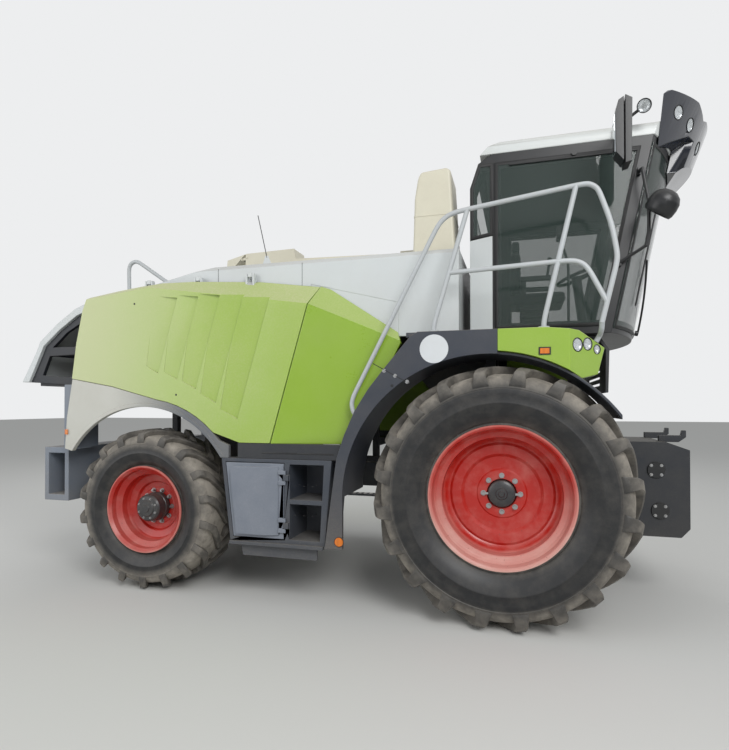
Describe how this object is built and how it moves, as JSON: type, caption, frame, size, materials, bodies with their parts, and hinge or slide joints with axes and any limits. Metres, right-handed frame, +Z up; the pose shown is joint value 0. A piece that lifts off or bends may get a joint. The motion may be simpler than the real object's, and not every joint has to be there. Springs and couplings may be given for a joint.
{
  "type": "forage harvester",
  "caption": "Self-propelled forage harvester with cab, tall driven front wheels, steered rear wheels, green folded side doors and a crop spout laid back along the deck.",
  "frame": {"origin": "on the ground, under the middle of the machine's bounding box", "axes": "+X forward, +Y to the machine's left, +Z up"},
  "size_m": [6.72, 3.15, 4.2299],
  "materials": {
    "dark_paint": "dusty dark grey paint",
    "axle_paint": "dusty grey paint",
    "red_rim_paint": "red paint, weathered",
    "tyre": "black rubber, dusty on the lugs",
    "roller_steel": "worn bright by the crop",
    "green_paint": "bright yellow-green gloss paint",
    "arch_trim": "light grey paint",
    "light_paint": "very light grey gloss paint",
    "bumper_paint": "silver-grey paint",
    "fender_grey": "dark blue-grey satin paint",
    "box_grey": "mid grey satin paint",
    "cab_black": "black satin",
    "window_glass": "green-grey tinted glass",
    "seat_fabric": "dark woven cloth",
    "console_plastic": "dark grey",
    "rail_paint": "light grey paint on steel tube",
    "cream_paint": "cream paint"
  },
  "bodies": {
    "machine": {"chassis_frame": "dark_paint", "front_axle": "axle_paint", "rear_axle": "axle_paint", "engine_block": "axle_paint", "crop_duct": "axle_paint", "feed_housing": "dark_paint", "corner_panel_right": "green_paint", "corner_panel_left": "green_paint", "rear_arch_right": "arch_trim", "rear_arch_left": "arch_trim", "upper_body": "light_paint", "tail_hood": "light_paint", "tail_frame": "dark_paint", "radiator": "dark_paint", "rear_bumper": "bumper_paint", "fender_right": "fender_grey", "fender_left": "fender_grey", "lamp_pod_right": "green_paint", "lamp_pod_left": "green_paint", "storage_box": "box_grey", "access_ladder": "bumper_paint", "cab_platform": "dark_paint", "cab_shell": "cab_black", "cab_rear_panels": "light_paint", "cab_roof": "light_paint", "cab_visor": "cab_black", "cab_windows": "window_glass", "driver_seat": "seat_fabric", "steering_console": "console_plastic", "handrail_right": "rail_paint", "handrail_left": "rail_paint", "rear_rail": "rail_paint", "mirrors": "cab_black", "additive_tank": "cream_paint"},
    "front_wheel_right": {"front_rim_right": "red_rim_paint", "front_tyre_right": "tyre"},
    "front_wheel_left": {"front_rim_left": "red_rim_paint", "front_tyre_left": "tyre"},
    "rear_hub_right": {"rear_knuckle_right": "axle_paint"},
    "rear_hub_left": {"rear_knuckle_left": "axle_paint"},
    "rear_wheel_right": {"rear_rim_right": "red_rim_paint", "rear_tyre_right": "tyre"},
    "rear_wheel_left": {"rear_rim_left": "red_rim_paint", "rear_tyre_left": "tyre"},
    "feed_roll_lower": {"feed_roller_lower": "roller_steel"},
    "feed_roll_upper": {"feed_roller_upper": "roller_steel"},
    "door_right": {"side_door_right": "green_paint"},
    "door_left": {"side_door_left": "green_paint"},
    "cab_door": {"cab_door_left": "cab_black", "cab_door_glass": "window_glass"},
    "box_door": {"storage_door": "box_grey"},
    "spout_base": {"spout_turret": "cream_paint"},
    "spout_boom": {"spout_arm": "cream_paint"},
    "spout_tip": {"spout_flap": "cream_paint"}
  },
  "joints": [
    {"name": "front_wheel_spin_right", "type": "hinge", "parent": "machine", "child": "front_wheel_right", "pos_m": [1.57, -1.22, 1.015], "axis": [0, 1, 0], "continuous": true},
    {"name": "front_wheel_spin_left", "type": "hinge", "parent": "machine", "child": "front_wheel_left", "pos_m": [1.57, 1.22, 1.015], "axis": [0, 1, 0], "continuous": true},
    {"name": "steer_right", "type": "hinge", "parent": "machine", "child": "rear_hub_right", "pos_m": [-1.68, -0.88, 0.75], "axis": [0, 0, 1], "range_deg": [-40, 40]},
    {"name": "steer_left", "type": "hinge", "parent": "machine", "child": "rear_hub_left", "pos_m": [-1.68, 0.88, 0.75], "axis": [0, 0, 1], "range_deg": [-40, 40]},
    {"name": "rear_wheel_spin_right", "type": "hinge", "parent": "rear_hub_right", "child": "rear_wheel_right", "pos_m": [-1.68, -1.17, 0.75], "axis": [0, 1, 0], "continuous": true},
    {"name": "rear_wheel_spin_left", "type": "hinge", "parent": "rear_hub_left", "child": "rear_wheel_left", "pos_m": [-1.68, 1.17, 0.75], "axis": [0, 1, 0], "continuous": true},
    {"name": "feed_roller_turn_lower", "type": "hinge", "parent": "machine", "child": "feed_roll_lower", "pos_m": [2.9, 0, 0.79], "axis": [0, 1, 0], "continuous": true},
    {"name": "feed_roller_turn_upper", "type": "hinge", "parent": "machine", "child": "feed_roll_upper", "pos_m": [2.87, 0, 1.15], "axis": [0, 1, 0], "continuous": true},
    {"name": "side_door_lift_right", "type": "hinge", "parent": "machine", "child": "door_right", "pos_m": [-1.19, -1.292, 2.908], "axis": [-1, 0, 0], "range_deg": [0, 70]},
    {"name": "side_door_lift_left", "type": "hinge", "parent": "machine", "child": "door_left", "pos_m": [-1.19, 1.292, 2.908], "axis": [1, 0, 0], "range_deg": [0, 70]},
    {"name": "cab_door_swing", "type": "hinge", "parent": "machine", "child": "cab_door", "pos_m": [1.516, 1.027, 3.05], "axis": [0, 0, 1], "range_deg": [0, 80]},
    {"name": "box_door_swing", "type": "hinge", "parent": "machine", "child": "box_door", "pos_m": [-0.233, -1.462, 0.895], "axis": [0, 0, 1], "range_deg": [0, 100]},
    {"name": "spout_slew", "type": "hinge", "parent": "machine", "child": "spout_base", "pos_m": [0.595, 0, 3.035], "axis": [0, 0, 1], "range_deg": [-90, 90]},
    {"name": "spout_lift", "type": "hinge", "parent": "spout_base", "child": "spout_boom", "pos_m": [0.365, 0, 3.225], "axis": [0, 1, 0], "range_deg": [0, 35]},
    {"name": "spout_flap_tilt", "type": "hinge", "parent": "spout_boom", "child": "spout_tip", "pos_m": [-1.3, 0, 3.42], "axis": [0, -1, 0], "range_deg": [0, 45]}
  ],
  "couplings": [
    {"joint": "steer_left", "follows": "steer_right", "ratio": 1},
    {"joint": "feed_roller_turn_lower", "follows": "feed_roller_turn_upper", "ratio": -1}
  ]
}
